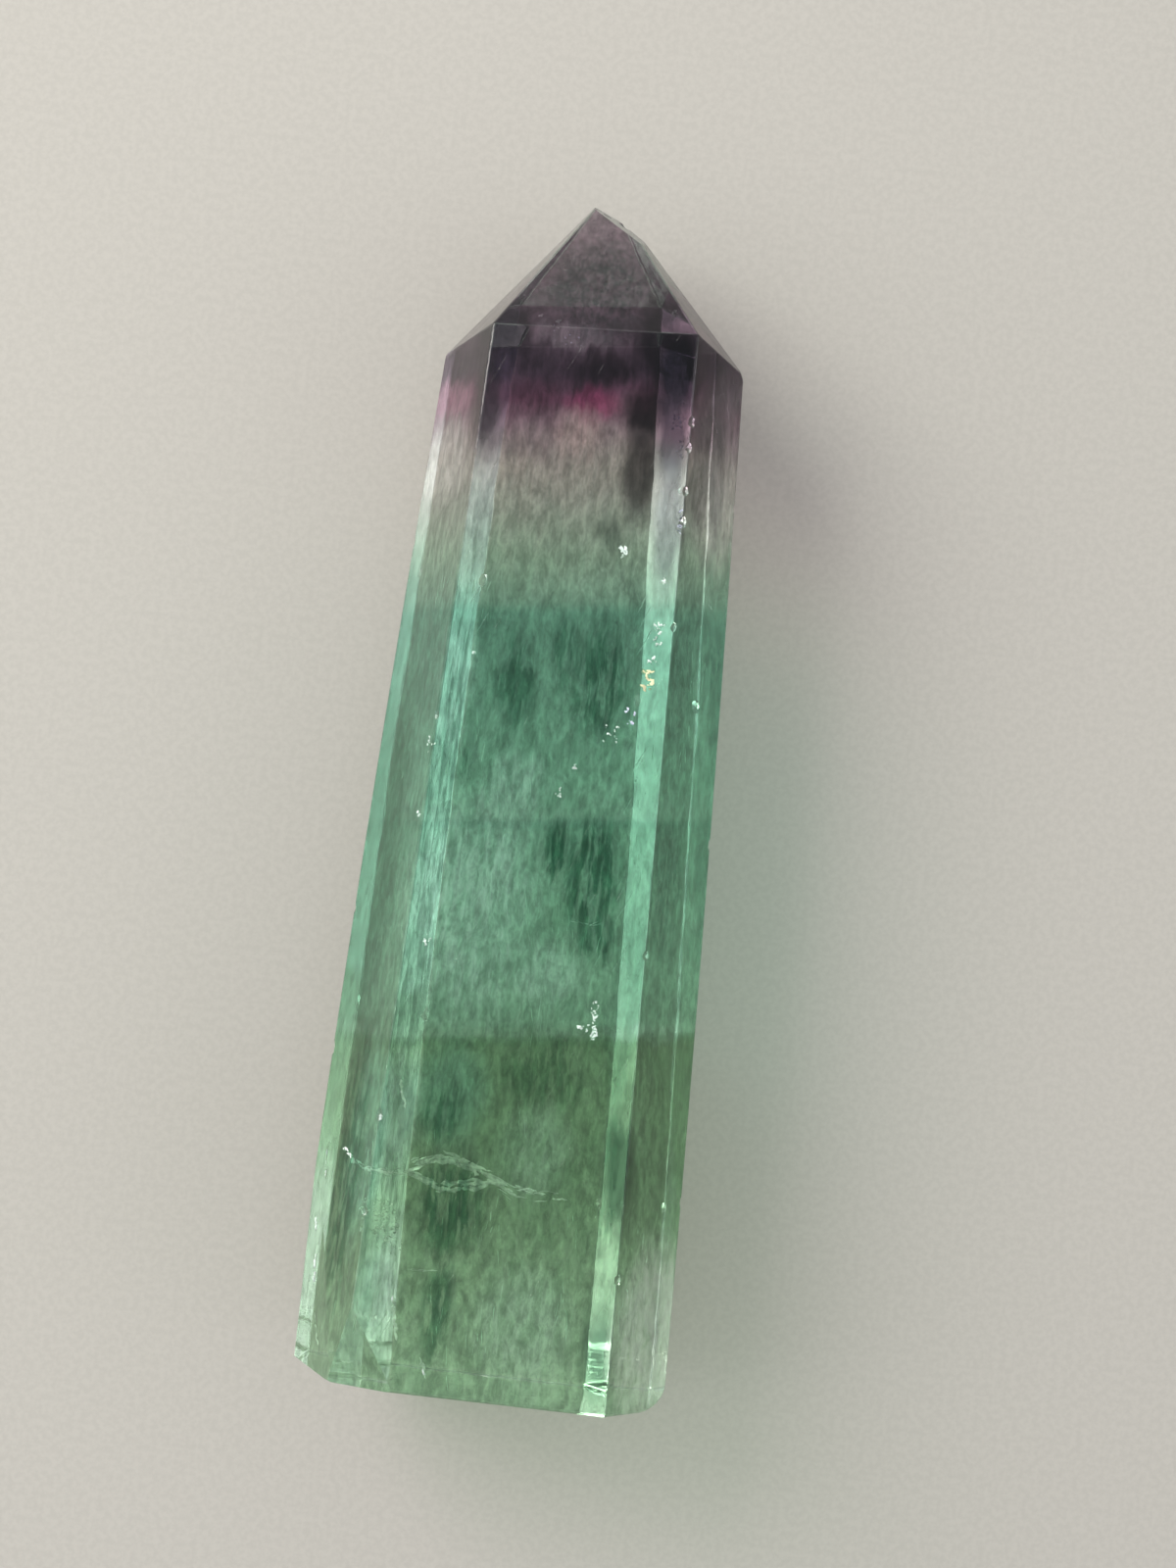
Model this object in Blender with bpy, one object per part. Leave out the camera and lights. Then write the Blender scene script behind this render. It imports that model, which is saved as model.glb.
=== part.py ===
"""A cut and polished fluorite point, lying on its back face with the tip toward +Y.

The crystal is a slightly flattened hexagon that narrows from a flat sawn base to six
facets at the tip. One corner of the base and the very tip are chipped. Lengths are in
millimetres, with y = 0 at the base, until the finished mesh is centred and scaled.
"""

import math

import bmesh
import bpy
from mathutils import Vector

MM = 0.001

# Long edges of the body, in order round the section. Each x and each z is
# (at the base, at the shoulder, outward bow half way up).
SHOULDER_Y = 70.0
STOCK_Y = 84.0
STATIONS = 7
LONG_EDGES = {
    "front_left": ((-9.0, -7.13, 0.0), (16.4, 14.2, 0.0)),
    "front_right": ((8.54, 6.48, 0.0), (16.4, 14.2, 0.0)),
    "right": ((12.45, 9.85, 0.2), (10.65, 10.4, 0.0)),
    "back_right": ((7.0, 4.1, 0.35), (0.0, 0.0, 0.0)),
    "back_left": ((-6.27, -5.58, -0.6), (0.0, 0.0, 0.0)),
    "left": ((-13.1, -10.35, -0.28), (9.0, 5.8, 0.0)),
}
BODY_MIDDLE = Vector((0.0, SHOULDER_Y / 2.0, 8.0))

# Termination: the height where each long edge ends, and what the facet after it aims at.
LEFT_AIM = Vector((-0.95, 80.6, 7.0))
RIGHT_AIM = Vector((-0.25, 80.7, 7.0))
TERMINATION = {
    "front_left": (70.6, LEFT_AIM),
    "front_right": (71.4, RIGHT_AIM),
    "right": (69.4, RIGHT_AIM),
    "back_right": (71.3, LEFT_AIM),
    "back_left": (70.2, LEFT_AIM),
    "left": (69.0, LEFT_AIM),
}

# Flat breaks and worn spots, each on the plane through three points.
TIP_BREAK = (Vector((-1.3, 80.0, 6.8)), Vector((2.2, 78.25, 6.8)), Vector((0.6, 78.5, 8.6)))
CORNER_BREAK = (Vector((-8.85, 5.2, 16.2)), Vector((-5.6, 0.2, 16.4)), Vector((-9.56, 1.5, 15.1)))
EDGE_BREAK = (Vector((-10.21, 2.5, 14.0)), Vector((-12.75, 2.5, 8.2)), Vector((-12.72, 15.5, 8.3)))
BASE_WEAR = (Vector((-9.6, 0.0, 16.0)), Vector((-12.6, 0.45, 8.5)), Vector((-10.6, 0.0, 4.0)))

# Shell-shaped bites along the tip break: centre and radius.
BITES = (
    (Vector((-0.3, 79.9, 7.2)), 0.55),
    (Vector((0.9, 79.35, 6.8)), 0.62),
    (Vector((2.0, 78.85, 7.3)), 0.58),
)

# Upright corners that are rounded: radius and number of flat cuts.
BASE_CORNER = (1.8, 4)
RIGHT_SHOULDER = (2.4, 3)
LEFT_SHOULDER = (1.4, 2)

EDGE_WIDTH = 0.18
SHARP_ANGLE = math.radians(22.0)
FLAT_ANGLE = math.radians(0.3)

FLUORITE_GREEN = (0.32, 0.62, 0.47, 1.0)
ROUGHNESS = 0.06


def along(values: tuple[float, float, float], y: float) -> float:
    """A long edge's coordinate at height y above the base."""
    base, shoulder, bow = values
    share = y / SHOULDER_Y
    return base + (shoulder - base) * share + 4.0 * bow * share * (1.0 - share)


def edge_point(name: str, y: float) -> Vector:
    """The point of a long edge at height y above the base."""
    across, height = LONG_EDGES[name]
    return Vector((along(across, y), y, along(height, y)))


def ridge_end(name: str) -> Vector:
    """Where a long edge meets the facets of the tip."""
    return edge_point(name, TERMINATION[name][0])


def section(y: float) -> list[Vector]:
    """The six-sided section at height y, each corner cut back to a narrow bevel."""
    corners = [edge_point(name, y) for name in LONG_EDGES]
    points = []
    for i, corner in enumerate(corners):
        before = corners[i - 1]
        after = corners[(i + 1) % len(corners)]
        points.append(corner + EDGE_WIDTH * (before - corner).normalized())
        points.append(corner + EDGE_WIDTH * (after - corner).normalized())
    return points


def body_stock() -> bmesh.types.BMesh:
    """The six-sided body, longer than the crystal, closed at both ends."""
    mesh = bmesh.new()
    rings = []
    for station in range(STATIONS + 1):
        y = STOCK_Y * station / STATIONS
        rings.append([mesh.verts.new(point) for point in section(y)])
    sides = len(rings[0])
    for lower, upper in zip(rings, rings[1:]):
        for i in range(sides):
            j = (i + 1) % sides
            mesh.faces.new((lower[i], lower[j], upper[j], upper[i]))
    mesh.faces.new(rings[0])
    mesh.faces.new(rings[-1])
    bmesh.ops.recalc_face_normals(mesh, faces=mesh.faces)
    return mesh


def cut(mesh: bmesh.types.BMesh, point: Vector, normal: Vector) -> None:
    """Takes off everything on the normal's side of a plane and closes the wound."""
    geometry = [*mesh.verts, *mesh.edges, *mesh.faces]
    done = bmesh.ops.bisect_plane(
        mesh, geom=geometry, dist=1e-5, plane_co=point, plane_no=normal, clear_outer=True
    )
    rim = [item for item in done["geom_cut"] if isinstance(item, bmesh.types.BMEdge)]
    bmesh.ops.edgeloop_fill(mesh, edges=rim)


def cut_through(mesh: bmesh.types.BMesh, points: tuple[Vector, Vector, Vector]) -> None:
    """Cuts on the plane through three points, keeping the middle of the body."""
    first, second, third = points
    normal = (second - first).cross(third - first).normalized()
    if (BODY_MIDDLE - first).dot(normal) > 0.0:
        normal.negate()
    cut(mesh, first, normal)


def cut_termination(mesh: bmesh.types.BMesh) -> None:
    """Cuts one facet over each side of the hexagon, all meeting near the tip."""
    for i, (name, (_, aim)) in enumerate(TERMINATION.items()):
        following = list(TERMINATION)[(i + 1) % len(TERMINATION)]
        cut_through(mesh, (ridge_end(name), ridge_end(following), aim))


def heading(start: Vector, end: Vector) -> float:
    """The angle of the outward normal of a wall that runs counterclockwise in plan."""
    run = end - start
    return math.atan2(-run.x, run.y)


def round_corner(
    mesh: bmesh.types.BMesh,
    before: Vector,
    corner: Vector,
    after: Vector,
    rounding: tuple[float, int],
) -> None:
    """Rounds the outline at a corner with upright cuts that touch a circle inside it."""
    radius, cuts = rounding
    first = heading(before, corner)
    turn = (heading(corner, after) - first) % math.tau
    reach = radius / math.cos(turn / 2.0)
    outward = Vector((math.cos(first + turn / 2.0), math.sin(first + turn / 2.0), 0.0))
    centre = corner - reach * outward
    for i in range(cuts):
        angle = first + turn * (i + 1) / (cuts + 1)
        normal = Vector((math.cos(angle), math.sin(angle), 0.0))
        cut(mesh, centre + radius * normal, normal)


def round_outline(mesh: bmesh.types.BMesh) -> None:
    """Rounds the base's right corner and both shoulders, as seen from above."""
    low, high = 0.0, SHOULDER_Y - 20.0
    corner = edge_point("right", low)
    round_corner(
        mesh, Vector((0.0, low, 0.0)), corner, edge_point("right", high), BASE_CORNER
    )
    shoulder = ridge_end("right")
    round_corner(mesh, edge_point("right", high), shoulder, RIGHT_AIM, RIGHT_SHOULDER)
    shoulder = ridge_end("left")
    round_corner(mesh, LEFT_AIM, shoulder, edge_point("left", high), LEFT_SHOULDER)


def runs_along_body(edge: bmesh.types.BMEdge) -> bool:
    """Whether an edge follows the body's length, where the section is already bevelled."""
    run = (edge.verts[1].co - edge.verts[0].co).normalized()
    return abs(run.y) > math.cos(SHARP_ANGLE / 2.0)


def ease_edges(mesh: bmesh.types.BMesh) -> None:
    """Gives the crisp edges of the base and of the tip a narrow polished bevel."""
    mesh.normal_update()
    planes = []
    for edge in mesh.edges:
        bend = edge.calc_face_angle(0.0)
        if bend < SHARP_ANGLE or runs_along_body(edge):
            continue
        first, second = edge.link_faces
        normal = (first.normal + second.normal).normalized()
        middle = (edge.verts[0].co + edge.verts[1].co) / 2.0
        planes.append((middle - EDGE_WIDTH * math.sin(bend / 2.0) * normal, normal))
    for point, normal in planes:
        cut(mesh, point, normal)


def bite_cutter(number: int, centre: Vector, radius: float) -> bpy.types.Object:
    """A hidden faceted ball that leaves one shell-shaped bite."""
    shape = bmesh.new()
    bmesh.ops.create_icosphere(shape, subdivisions=2, radius=radius)
    bmesh.ops.translate(shape, verts=shape.verts, vec=centre)
    data = bpy.data.meshes.new(f"bite_{number}")
    shape.to_mesh(data)
    shape.free()
    cutter = bpy.data.objects.new(f"bite_{number}", data)
    bpy.context.collection.objects.link(cutter)
    cutter.hide_render = True
    return cutter


def carve_bites(body: bpy.types.Object) -> None:
    """Carves the bites into the body's own mesh and drops the cutters."""
    cutters = [bite_cutter(i, *bite) for i, bite in enumerate(BITES)]
    for cutter in cutters:
        modifier = body.modifiers.new(cutter.name, "BOOLEAN")
        modifier.operation = "DIFFERENCE"
        modifier.solver = "EXACT"
        modifier.object = cutter
    graph = bpy.context.evaluated_depsgraph_get()
    carved = bpy.data.meshes.new_from_object(body.evaluated_get(graph))
    body.modifiers.clear()
    body.data = carved
    for cutter in cutters:
        bpy.data.objects.remove(cutter)


def centre_and_scale(body: bpy.types.Object) -> None:
    """Puts the middle of the footprint at the origin and turns millimetres to metres."""
    points = [vertex.co for vertex in body.data.vertices]
    low = Vector(map(min, zip(*points)))
    high = Vector(map(max, zip(*points)))
    origin = Vector(((low.x + high.x) / 2.0, (low.y + high.y) / 2.0, low.z))
    for vertex in body.data.vertices:
        vertex.co = (vertex.co - origin) * MM


def fluorite() -> bpy.types.Material:
    """Plain finish of the polished crystal."""
    material = bpy.data.materials.new("fluorite")
    material.use_nodes = True
    shader = material.node_tree.nodes["Principled BSDF"]
    shader.inputs["Base Color"].default_value = FLUORITE_GREEN
    shader.inputs["Roughness"].default_value = ROUGHNESS
    shader.inputs["Metallic"].default_value = 0.0
    return material


def build_point() -> bpy.types.Object:
    """The whole crystal as one closed solid."""
    mesh = body_stock()
    cut_termination(mesh)
    round_outline(mesh)
    ease_edges(mesh)
    for broken in (TIP_BREAK, CORNER_BREAK, EDGE_BREAK, BASE_WEAR):
        cut_through(mesh, broken)
    bmesh.ops.dissolve_limit(
        mesh, angle_limit=FLAT_ANGLE, verts=mesh.verts, edges=mesh.edges
    )
    bmesh.ops.triangulate(mesh, faces=[face for face in mesh.faces if len(face.verts) > 3])
    data = bpy.data.meshes.new("fluorite_point")
    mesh.to_mesh(data)
    mesh.free()
    body = bpy.data.objects.new("fluorite_point", data)
    bpy.context.collection.objects.link(body)
    carve_bites(body)
    centre_and_scale(body)
    body.data.materials.clear()
    body.data.materials.append(fluorite())
    return body


def clear_scene() -> None:
    """Removes every object the scene starts with."""
    for item in list(bpy.data.objects):
        bpy.data.objects.remove(item)


clear_scene()
build_point()
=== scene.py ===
"""Visual model of a cut and polished fluorite point lying on a pale table.

The crystal is a slightly flattened hexagon that narrows from a sawn base to a faceted
tip. Its growth zones run from smoky purple at the tip through a clear zone to green.
Shapes are laid out in millimetres, with y = 0 at the base and z = 0 on the table, and
are turned into metres round the middle of the footprint when a piece is finished.
"""

import logging
import math
import random
from collections.abc import Iterable, Sequence
from dataclasses import dataclass, field
from enum import Enum
from functools import partial, reduce
from typing import ClassVar

import bmesh
import bpy
from mathutils import Matrix, Vector, noise


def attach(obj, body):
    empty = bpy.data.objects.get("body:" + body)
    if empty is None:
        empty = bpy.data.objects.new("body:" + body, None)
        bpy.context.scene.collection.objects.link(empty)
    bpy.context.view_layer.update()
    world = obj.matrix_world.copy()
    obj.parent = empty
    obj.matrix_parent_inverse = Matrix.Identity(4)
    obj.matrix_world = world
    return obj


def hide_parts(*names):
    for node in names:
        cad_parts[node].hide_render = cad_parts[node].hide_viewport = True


LOG = logging.getLogger("fluorite_point")
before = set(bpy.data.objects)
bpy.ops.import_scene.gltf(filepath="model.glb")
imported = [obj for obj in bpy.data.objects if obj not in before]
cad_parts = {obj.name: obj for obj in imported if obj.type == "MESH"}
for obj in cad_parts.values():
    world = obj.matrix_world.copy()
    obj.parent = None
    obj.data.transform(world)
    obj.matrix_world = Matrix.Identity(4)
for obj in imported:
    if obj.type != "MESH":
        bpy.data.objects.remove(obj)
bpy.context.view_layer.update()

MM = 0.001
FOOTPRINT_MIDDLE = Vector((-0.188, 40.008, 0.0))
GROWTH_AXIS = Vector((-0.115, 0.993, 0.0))
TAPER = 0.0034
# Face attribute that whitens and roughens rounded edges: partly wear, partly a painted highlight
# line along the long edges.
WEAR_AND_HIGHLIGHT = "wear_and_highlight"

Triple = tuple[float, float, float]
Colour = Triple
Span = tuple[float, float]
Easing = tuple[float, float, float, float]
Socket = bpy.types.NodeSocket
Source = Socket | float | Triple | Vector

NOISE_MEAN = 0.5
ORIGIN: Triple = (0.0, 0.0, 0.0)
WHOLE: Colour = (1.0, 1.0, 1.0)


class SocketKind(Enum):
    """Kinds of socket that the shader groups use."""

    NUMBER = "NodeSocketFloat"
    VECTOR = "NodeSocketVector"


@dataclass(frozen=True)
class Pattern:
    """Noise: clouds per unit, octaves, strength of the finer ones, drawing out along Y."""

    scale: Socket | float
    octaves: float = 3.0
    fineness: float = 0.5
    stretch: Socket | float = 1.0


@dataclass
class Wiring:
    """Adds and joins the nodes of one node tree."""

    tree: bpy.types.NodeTree

    def add(self, kind: str, *sources: Source, **settings: object) -> bpy.types.Node:
        """Adds a node and feeds its inputs in their order.

        Args:
            kind: The node's type name.
            *sources: What goes into its inputs, from the first on.
            **settings: Attributes set on the new node.

        Returns:
            The new node.
        """
        node = self.tree.nodes.new(kind)
        for name, value in settings.items():
            setattr(node, name, value)
        for target, source in zip(node.inputs, sources):
            self.feed(target, source)
        return node

    def feed(self, target: Socket, source: Source) -> None:
        """Links a socket to another, or sets its own value.

        Args:
            target: The input to feed.
            source: A socket to link, or a plain value.
        """
        if isinstance(source, bpy.types.NodeSocket):
            self.tree.links.new(source, target)
        elif target.type == "RGBA":
            target.default_value = (*source, 1.0)
        else:
            target.default_value = source

    def maths(self, operation: str, first: Source, second: Source) -> Socket:
        """Joins two numbers by an operation of the Math node."""
        return self.add("ShaderNodeMath", first, second, operation=operation).outputs[0]

    def times(self, first: Source, second: Source) -> Socket:
        """Multiplies two numbers."""
        return self.maths("MULTIPLY", first, second)

    def vector(self, operation: str, *sources: Source) -> Socket:
        """Joins vectors by an operation of the Vector Math node."""
        return self.add("ShaderNodeVectorMath", *sources, operation=operation).outputs[0]

    def scaled(self, vector: Socket, factor: Socket | float) -> Socket:
        """Scales a vector."""
        return self.vector("SCALE", vector, ORIGIN, ORIGIN, factor)

    def ramp(
        self, value: Socket, low: Source, high: Source, start: Source = 0.0, end: Source = 1.0
    ) -> Socket:
        """Eases a number from the range low to high into the range start to end."""
        sources = (value, low, high, start, end)
        return self.add("ShaderNodeMapRange", *sources, interpolation_type="SMOOTHSTEP").outputs[0]

    def mix(self, share: Source, first: Source, second: Source, blend: str = "MIX") -> Socket:
        """Mixes two colours.

        Args:
            share: How much of the second colour shows.
            first: The colour underneath.
            second: The colour laid over it.
            blend: The Mix node's blend type.

        Returns:
            The mixed colour.
        """
        node = self.add("ShaderNodeMix", share, data_type="RGBA", blend_type=blend)
        self.feed(node.inputs[6], first)
        self.feed(node.inputs[7], second)
        return node.outputs[2]

    def noise(self, position: Socket, pattern: Pattern, output: str = "Fac") -> Socket:
        """Reads a cloudy pattern.

        Args:
            position: Where it is read.
            pattern: The pattern.
            output: Fac for a number or Color for a colour.

        Returns:
            The pattern.
        """
        if pattern.stretch != 1.0:
            factor = self.add("ShaderNodeCombineXYZ", 1.0, pattern.stretch, 1.0).outputs[0]
            position = self.vector("MULTIPLY", position, factor)
        sources = (position, 0.0, pattern.scale, pattern.octaves, pattern.fineness)
        return self.add("ShaderNodeTexNoise", *sources).outputs[output]


class ShaderGroup:
    """A shader effect with named inputs and outputs, built once and used by name.

    A triple as the starting value of an input or output makes a vector socket.
    """

    inputs: ClassVar[dict[str, float | Triple]]
    outputs: ClassVar[dict[str, float | Triple]]

    def __init__(self) -> None:
        """Makes the group's sockets and wires its inside."""
        self.tree = bpy.data.node_groups.new(type(self).__name__, "ShaderNodeTree")
        for ports, way in ((self.inputs, "INPUT"), (self.outputs, "OUTPUT")):
            for name, value in ports.items():
                kind = SocketKind.VECTOR if isinstance(value, tuple) else SocketKind.NUMBER
                socket = self.tree.interface.new_socket(
                    name=name, in_out=way, socket_type=kind.value
                )
                socket.default_value = value
        self.wiring = Wiring(self.tree)
        self.given = tuple(self.wiring.add("NodeGroupInput").outputs[: len(self.inputs)])
        self.result = self.wiring.add("NodeGroupOutput").inputs
        self.wire()

    def wire(self) -> None:
        """Fills the group; each effect has its own."""
        raise NotImplementedError

    def give(self, **results: Socket) -> None:
        """Feeds the group's outputs, each by its name in lower case."""
        for name, source in results.items():
            self.wiring.feed(self.result[name.capitalize()], source)

    def put(self, wiring: Wiring, **values: Source) -> bpy.types.NodeOutputs:
        """Places the group in a material.

        Args:
            wiring: The material's wiring.
            **values: A socket or plain value for each input, by its name in lower case.

        Returns:
            The group node's outputs.
        """
        node = wiring.add("ShaderNodeGroup", node_tree=self.tree)
        for name, value in values.items():
            wiring.feed(node.inputs[name.capitalize()], value)
        return node.outputs


class Millimetres(ShaderGroup):
    """Turns object coordinates into millimetres and a height along the growth axis."""

    inputs = {"Position": ORIGIN}
    outputs = {"Position": ORIGIN, "Growth": 0.0}

    def wire(self) -> None:
        """Scales the position and measures it along the growth axis."""
        w = self.wiring
        place = w.scaled(self.given[0], 1.0 / MM)
        along = w.add("ShaderNodeVectorMath", place, GROWTH_AXIS, operation="DOT_PRODUCT")
        self.give(position=place, growth=along.outputs["Value"])


class Straightening(ShaderGroup):
    """Undoes the crystal's taper, so that a place keeps its share of the width."""

    inputs = {"Position": ORIGIN, "Taper": TAPER}
    outputs = {"Position": ORIGIN}

    def wire(self) -> None:
        """Widens the position by as much as the crystal narrows there."""
        w = self.wiring
        position, taper = self.given
        x, y, z = w.add("ShaderNodeSeparateXYZ", position).outputs
        across = w.maths("DIVIDE", x, w.maths("SUBTRACT", 1.0, w.times(y, taper)))
        self.give(position=w.add("ShaderNodeCombineXYZ", across, y, z).outputs[0])


class Fraying(ShaderGroup):
    """Pulls a position about, so that what is drawn with it has ragged outlines."""

    inputs = {"Position": ORIGIN, "Scale": 0.5, "Reach": 1.0}
    outputs = {"Position": ORIGIN}
    pull = (2.0, 6.0, 2.0)

    def wire(self) -> None:
        """Adds noise that is drawn out along the crystal."""
        w = self.wiring
        position, scale, reach = self.given
        clouds = w.noise(position, Pattern(scale, 3.0, 0.64, 0.35), "Color")
        centred = w.vector("SUBTRACT", clouds, (NOISE_MEAN,) * 3)
        moved = w.scaled(w.vector("MULTIPLY", centred, self.pull), reach)
        self.give(position=w.vector("ADD", position, moved))


class Streaks(ShaderGroup):
    """Fine streaks drawn out along the length of the crystal."""

    inputs = {"Position": ORIGIN, "Scale": 1.0, "Stretch": 0.12, "Threshold": 0.5, "Width": 0.2}
    outputs = {"Mask": 0.0}
    drift = 0.5

    def wire(self) -> None:
        """Draws noise out and breaks it up with broader clouds."""
        w = self.wiring
        position, scale, stretch, threshold, width = self.given
        fine = w.noise(position, Pattern(scale, 4.0, 0.6, stretch))
        broad = w.maths("SUBTRACT", w.noise(position, Pattern(0.28)), NOISE_MEAN)
        lifted = w.maths("ADD", fine, w.times(broad, self.drift))
        self.give(mask=w.ramp(lifted, threshold, w.maths("ADD", threshold, width)))


class Patch(ShaderGroup):
    """A soft-edged cloud round one place in the crystal."""

    inputs = {"Position": ORIGIN, "Centre": ORIGIN, "Reach": WHOLE, "Core": 0.4, "Strength": 1.0}
    outputs = {"Mask": 0.0}

    def wire(self) -> None:
        """Measures the distance from the centre as a share of the reach."""
        w = self.wiring
        position, centre, reach, core, strength = self.given
        share = w.vector("DIVIDE", w.vector("SUBTRACT", position, centre), reach)
        length = w.add("ShaderNodeVectorMath", share, operation="LENGTH").outputs["Value"]
        self.give(mask=w.ramp(length, 1.0, core, 0.0, strength))


class Polish(ShaderGroup):
    """Relief and dulling of a hand-polished stone: waves, hairline scratches and pits."""

    inputs = {"Position": ORIGIN, "Waves": 1.0, "Scratches": 1.0, "Pits": 1.0}
    outputs = {"Height": 0.0, "Dulling": 0.0}
    rib_share = 0.1
    mark_depth = 0.12
    scratch_slant = math.radians(24.0)
    scratched = (0.68, 0.74)
    pitted = (0.72, 0.8)

    def wire(self) -> None:
        """Adds the three kinds of relief and gathers the worn spots."""
        w = self.wiring
        position, waves, scratches, pits = self.given
        swell = w.noise(position, Pattern(0.5, 2.0, stretch=0.25))
        ribs = w.noise(position, Pattern(2.4, 2.0, stretch=0.12))
        swell = w.times(w.maths("ADD", swell, w.times(ribs, self.rib_share)), waves)
        slant = w.add("ShaderNodeVectorRotate", position, rotation_type="Z_AXIS")
        slant.inputs["Angle"].default_value = self.scratch_slant
        lines = w.noise(slant.outputs[0], Pattern(6.0, 2.0, stretch=0.02))
        spots = w.noise(position, Pattern(2.6, 2.0, 0.4))
        scratches = w.times(w.ramp(lines, *self.scratched), scratches)
        pits = w.times(w.ramp(spots, *self.pitted), pits)
        marks = w.maths("ADD", scratches, pits)
        relief = w.maths("SUBTRACT", swell, w.times(marks, self.mark_depth))
        self.give(height=relief, dulling=marks)


@dataclass
class Effects:
    """The shader groups that the finishes share."""

    millimetres: Millimetres = field(default_factory=Millimetres)
    straightening: Straightening = field(default_factory=Straightening)
    fraying: Fraying = field(default_factory=Fraying)
    streaks: Streaks = field(default_factory=Streaks)
    patch: Patch = field(default_factory=Patch)
    polish: Polish = field(default_factory=Polish)


class Dressing(Wiring):
    """The wiring of a new material, with its shader and its place in millimetres."""

    def __init__(self, name: str, effects: Effects) -> None:
        """Makes the material.

        Args:
            name: The material's name.
            effects: The shader groups.
        """
        self.material = bpy.data.materials.new(name)
        self.material.use_nodes = True
        super().__init__(self.material.node_tree)
        self.shader = self.tree.nodes["Principled BSDF"]
        self.effects = effects
        position = self.add("ShaderNodeTexCoord").outputs["Object"]
        self.place, self.growth = effects.millimetres.put(self, position=position)

    def dress(self, values: dict[str, Source]) -> None:
        """Feeds the shader's inputs by name."""
        for name, value in values.items():
            self.feed(self.shader.inputs[name], value)


@dataclass(frozen=True)
class Cloud:
    """A soft-edged place in the crystal, in millimetres from the footprint's middle.

    The width is the one it would have if the crystal had no taper.
    """

    across: float
    along: float
    half_width: float
    half_length: float
    strength: float
    depth: ClassVar[float] = 8.0
    half_depth: ClassVar[float] = 40.0

    def mask(self, w: Dressing, position: Socket) -> Socket:
        """Draws the place as a mask.

        Args:
            w: The material's wiring.
            position: The straightened place in millimetres.

        Returns:
            The mask, at most the patch's strength.
        """
        return w.effects.patch.put(
            w,
            position=position,
            centre=(self.across, self.along, self.depth),
            reach=(self.half_width, self.half_length, self.half_depth),
            strength=self.strength,
        )["Mask"]


@dataclass(frozen=True)
class StainAndPaintedLight(Cloud):
    """A cloud with a colour of its own; most are stains, a few are painted light and painted shade.
    """

    colour: Colour


# The colour zones, from the base up: height along the growth axis, and colour there.
ZONES: dict[float, Colour] = {
    -41.0: (0.48, 0.68, 0.49),
    -33.0: (0.38, 0.58, 0.38),
    -26.0: (0.26, 0.44, 0.26),
    -16.6: (0.22, 0.39, 0.22),
    -16.05: (0.16, 0.33, 0.18),
    -15.9: (0.32, 0.54, 0.38),
    -15.0: (0.3, 0.54, 0.38),
    -9.0: (0.3, 0.58, 0.41),
    -2.2: (0.24, 0.51, 0.36),
    -1.85: (0.13, 0.36, 0.25),
    -1.7: (0.3, 0.57, 0.42),
    1.0: (0.27, 0.55, 0.4),
    7.0: (0.24, 0.5, 0.37),
    12.2: (0.21, 0.45, 0.34),
    12.9: (0.32, 0.53, 0.41),
    16.0: (0.44, 0.6, 0.47),
    19.5: (0.52, 0.56, 0.49),
    22.4: (0.57, 0.53, 0.49),
    24.6: (0.42, 0.3, 0.35),
    26.4: (0.24, 0.11, 0.18),
    28.2: (0.11, 0.07, 0.11),
    31.0: (0.15, 0.1, 0.14),
    34.0: (0.19, 0.12, 0.165),
    40.0: (0.36, 0.26, 0.32),
}

WINDOWS_AND_PAINTED_SHADE = (
    Cloud(-2.7, 7.6, 2.2, 5.0, 0.36),
    Cloud(0.2, 9.6, 1.7, 3.6, 0.3),
    Cloud(2.9, 7.8, 2.6, 5.6, 0.42),
    Cloud(-6.0, 2.4, 1.8, 3.0, 0.2),
    Cloud(1.3, -3.4, 1.2, 2.6, 0.5),
    Cloud(3.7, -4.8, 2.6, 5.6, 0.46),
    Cloud(4.4, -8.8, 1.8, 2.8, 0.38),
    Cloud(2.1, -18.2, 4.2, 3.4, 0.25),
    Cloud(-4.1, -21.4, 1.9, 2.9, 0.35),
    Cloud(-2.7, -27.4, 3.0, 4.2, 0.42),
    Cloud(-2.8, -34.2, 1.3, 4.8, 0.35),
    # Painted shade: a dark leaf over the lower left face.
    Cloud(-9.3, -26.3, 1.3, 13.0, 0.45),
    Cloud(0.2, 33.6, 5.6, 4.8, 0.3),
)

VEILS = (
    Cloud(-6.9, 6.5, 1.8, 6.0, 0.5),
    Cloud(-1.9, 0.4, 2.6, 3.2, 0.6),
    Cloud(-3.8, -7.4, 5.6, 10.0, 0.8),
    Cloud(1.0, -11.6, 3.8, 2.8, 0.5),
    Cloud(8.1, -14.9, 3.2, 0.8, 0.6),
    Cloud(-6.6, -21.5, 1.5, 6.8, 0.55),
    Cloud(2.0, -23.5, 3.0, 4.5, 0.35),
    Cloud(-6.3, -33.5, 1.6, 5.5, 0.5),
    Cloud(2.3, -35.0, 4.2, 5.0, 0.55),
    Cloud(10.4, -28.7, 0.6, 9.0, 0.5),
)

# Stains, and among them a few painted light and shade marks, each noted.
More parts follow.
